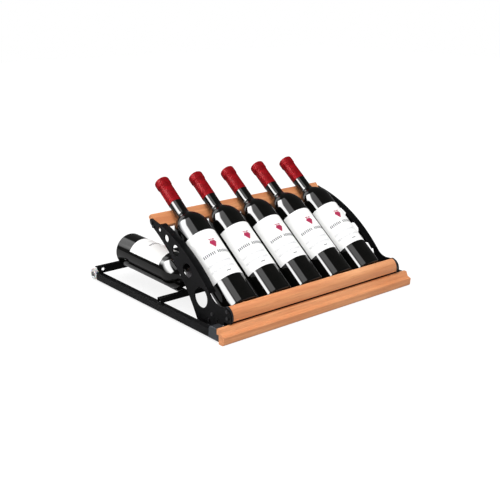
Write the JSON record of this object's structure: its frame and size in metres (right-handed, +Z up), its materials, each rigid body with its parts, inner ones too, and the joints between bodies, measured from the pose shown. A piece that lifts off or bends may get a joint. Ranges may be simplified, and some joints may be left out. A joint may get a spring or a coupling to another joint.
{
  "type": "wine cabinet display shelf",
  "caption": "Pull-out wine cabinet shelf: black steel frame, wooden handle, sloping display stand with pierced side panels, sealed bottles leaning on it and one lying behind.",
  "frame": {"origin": "on the surface the shelf stands on, at the middle of its whole width and depth", "axes": "+X across the shelf to the right as seen from the handle, +Y from the handle to the back, +Z up"},
  "size_m": [0.535, 0.498, 0.2583],
  "materials": {
    "black_steel": "satin black powder coat",
    "oak": "clear lacquered, warm orange tan",
    "black_plastic": "moulded, fine grain",
    "dark_steel": "blackened",
    "roller_plastic": "translucent white nylon",
    "axle_steel": "turned",
    "bottle_glass": "very dark green, glossy",
    "wine": "dark red liquid",
    "cork": "natural",
    "capsule_foil": "satin crimson foil",
    "dark_foil": "satin black foil",
    "label_paper": "matt white paper"
  },
  "bodies": {
    "sliding_frame": {"left_side_rail": "black_steel", "right_side_rail": "black_steel", "front_crossbar": "black_steel", "middle_crossbar": "black_steel", "rear_crossbar": "black_steel", "front_handle": "oak", "left_front_bracket": "black_plastic", "right_front_bracket": "black_plastic", "handle_screws": "dark_steel", "crossbar_screws": "dark_steel", "locating_studs": "dark_steel", "front_cradles": "black_plastic", "rear_cradles": "black_plastic", "left_roller_plate": "black_steel", "right_roller_plate": "black_steel", "left_roller_axle": "axle_steel", "right_roller_axle": "axle_steel"},
    "left_wheel": {"left_roller": "roller_plastic"},
    "right_wheel": {"right_roller": "roller_plastic"},
    "display_stand": {"left_side_panel": "black_steel", "right_side_panel": "black_steel", "front_display_rail": "oak", "front_rail_caps": "black_plastic", "neck_rail": "oak", "base_tray": "black_steel", "front_rail_screws": "dark_steel", "neck_rail_screws": "dark_steel", "tray_rivets": "dark_steel"},
    "bottle_1": {"bottle_1_glass": "bottle_glass", "bottle_1_wine": "wine", "bottle_1_cork": "cork", "bottle_1_capsule": "capsule_foil", "bottle_1_label": "label_paper"},
    "bottle_2": {"bottle_2_glass": "bottle_glass", "bottle_2_wine": "wine", "bottle_2_cork": "cork", "bottle_2_capsule": "capsule_foil", "bottle_2_label": "label_paper"},
    "bottle_3": {"bottle_3_glass": "bottle_glass", "bottle_3_wine": "wine", "bottle_3_cork": "cork", "bottle_3_capsule": "capsule_foil", "bottle_3_label": "label_paper"},
    "bottle_4": {"bottle_4_glass": "bottle_glass", "bottle_4_wine": "wine", "bottle_4_cork": "cork", "bottle_4_capsule": "capsule_foil", "bottle_4_label": "label_paper"},
    "bottle_5": {"bottle_5_glass": "bottle_glass", "bottle_5_wine": "wine", "bottle_5_cork": "cork", "bottle_5_capsule": "capsule_foil", "bottle_5_label": "label_paper"},
    "lying_bottle": {"lying_bottle_glass": "bottle_glass", "lying_bottle_wine": "wine", "lying_bottle_cork": "cork", "lying_bottle_capsule": "dark_foil", "lying_bottle_label": "label_paper"}
  },
  "joints": [
    {"name": "left_roller_spin", "type": "hinge", "parent": "sliding_frame", "child": "left_wheel", "pos_m": [-0.261, 0.2365, 0.0155], "axis": [1, 0, 0], "continuous": true},
    {"name": "right_roller_spin", "type": "hinge", "parent": "sliding_frame", "child": "right_wheel", "pos_m": [0.261, 0.2365, 0.0155], "axis": [1, 0, 0], "continuous": true},
    {"name": "stand_lift", "type": "slide", "parent": "sliding_frame", "child": "display_stand", "axis": [0, 0, 1], "range_m": [0, 0.15]},
    {"name": "bottle_1_lift", "type": "slide", "parent": "display_stand", "child": "bottle_1", "axis": [0, -0.6032, 0.7976], "range_m": [0, 0.12]},
    {"name": "bottle_2_lift", "type": "slide", "parent": "display_stand", "child": "bottle_2", "axis": [0, -0.6032, 0.7976], "range_m": [0, 0.12]},
    {"name": "bottle_3_lift", "type": "slide", "parent": "display_stand", "child": "bottle_3", "axis": [0, -0.6032, 0.7976], "range_m": [0, 0.12]},
    {"name": "bottle_4_lift", "type": "slide", "parent": "display_stand", "child": "bottle_4", "axis": [0, -0.6032, 0.7976], "range_m": [0, 0.12]},
    {"name": "bottle_5_lift", "type": "slide", "parent": "display_stand", "child": "bottle_5", "axis": [0, -0.6032, 0.7976], "range_m": [0, 0.12]},
    {"name": "lying_bottle_lift", "type": "slide", "parent": "sliding_frame", "child": "lying_bottle", "axis": [0, 0.8192, 0.5736], "range_m": [0, 0.35]}
  ]
}
